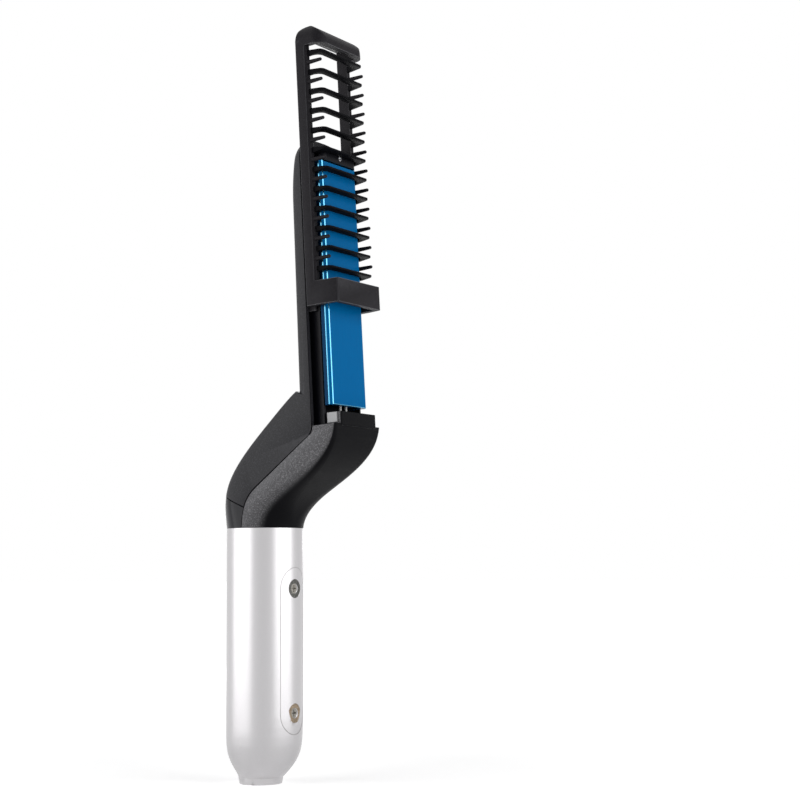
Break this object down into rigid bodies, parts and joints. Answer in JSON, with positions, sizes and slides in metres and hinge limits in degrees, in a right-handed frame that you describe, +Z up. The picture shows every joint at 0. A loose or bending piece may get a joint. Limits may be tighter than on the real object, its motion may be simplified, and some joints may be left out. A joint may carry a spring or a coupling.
{
  "type": "hot comb",
  "caption": "Corded hot comb for beards and hair: slide-on comb over a heated bar, cranked neck, round handle with slide switch and indicator.",
  "frame": {"origin": "mouth of the cord bore, in the handle's end face", "axes": "+Z up along the handle, +X towards the teeth, +Y towards the side with the slide switch"},
  "size_m": [0.066, 0.0348, 0.3181],
  "materials": {
    "pearl_plastic": "satin pearl-silver painted plastic",
    "charcoal_plastic": "fine-textured matte",
    "neck_plastic": "moulded plastic with a visible grain",
    "comb_plastic": "fine-textured heat-resistant nylon",
    "light_plastic": "smooth moulded",
    "band_plastic": "glossy",
    "ray_plastic": "translucent light guide",
    "slider_plastic": "semi-gloss",
    "blue_anodised": "blue anodised, brushed lengthwise",
    "screw_steel": "blackened",
    "bright_steel": "bright plated",
    "board_green": "solder mask",
    "ceramic": "fired ceramic",
    "fibre": "woven fibre",
    "component_black": "moulded",
    "capacitor_sleeve": "shrink sleeve",
    "lamp_lens": "clear resin",
    "brass": "turned",
    "contact_metal": "spring bronze",
    "wire_sleeve": "silicone sleeve",
    "bush_plastic": "smooth"
  },
  "bodies": {
    "housing": {"handle_front_shell": "pearl_plastic", "handle_back_shell": "pearl_plastic", "handle_screws": "screw_steel", "neck_front_shell": "neck_plastic", "latch_pads": "light_plastic", "head_back_cover": "charcoal_plastic", "indicator_band": "band_plastic", "indicator_rays": "ray_plastic", "led_board": "board_green", "indicator_lamp": "lamp_lens", "head_chassis": "component_black", "chassis_screws": "screw_steel", "heat_plate": "blue_anodised", "heater_element": "ceramic", "heater_insulation": "fibre", "thermal_cutout": "bright_steel", "plate_end_cap": "component_black", "cap_screw": "bright_steel", "switch_case": "component_black", "switch_terminals": "contact_metal", "control_board": "board_green", "board_screws": "screw_steel", "smoothing_capacitor": "capacitor_sleeve", "power_triac": "component_black", "dropper_resistor": "ceramic", "contact_carrier": "component_black", "contact_brushes": "contact_metal", "heater_leads": "wire_sleeve", "supply_leads": "wire_sleeve"},
    "comb_body": {"comb_frame": "comb_plastic", "comb_bridges": "comb_plastic"},
    "slider": {"switch_slider": "slider_plastic"},
    "swivel": {"swivel_bush": "bush_plastic", "contact_rings": "brass"}
  },
  "joints": [
    {"name": "comb_slide", "type": "slide", "parent": "housing", "child": "comb_body", "axis": [-0.0546, 0, 0.9985], "range_m": [-0.0488, 0.0685]},
    {"name": "switch_slide", "type": "slide", "parent": "housing", "child": "slider", "axis": [0, 0, 1], "range_m": [0, 0.0032]},
    {"name": "cord_swivel", "type": "hinge", "parent": "housing", "child": "swivel", "pos_m": [0, 0, 0], "axis": [0, 0, 1], "continuous": true}
  ]
}
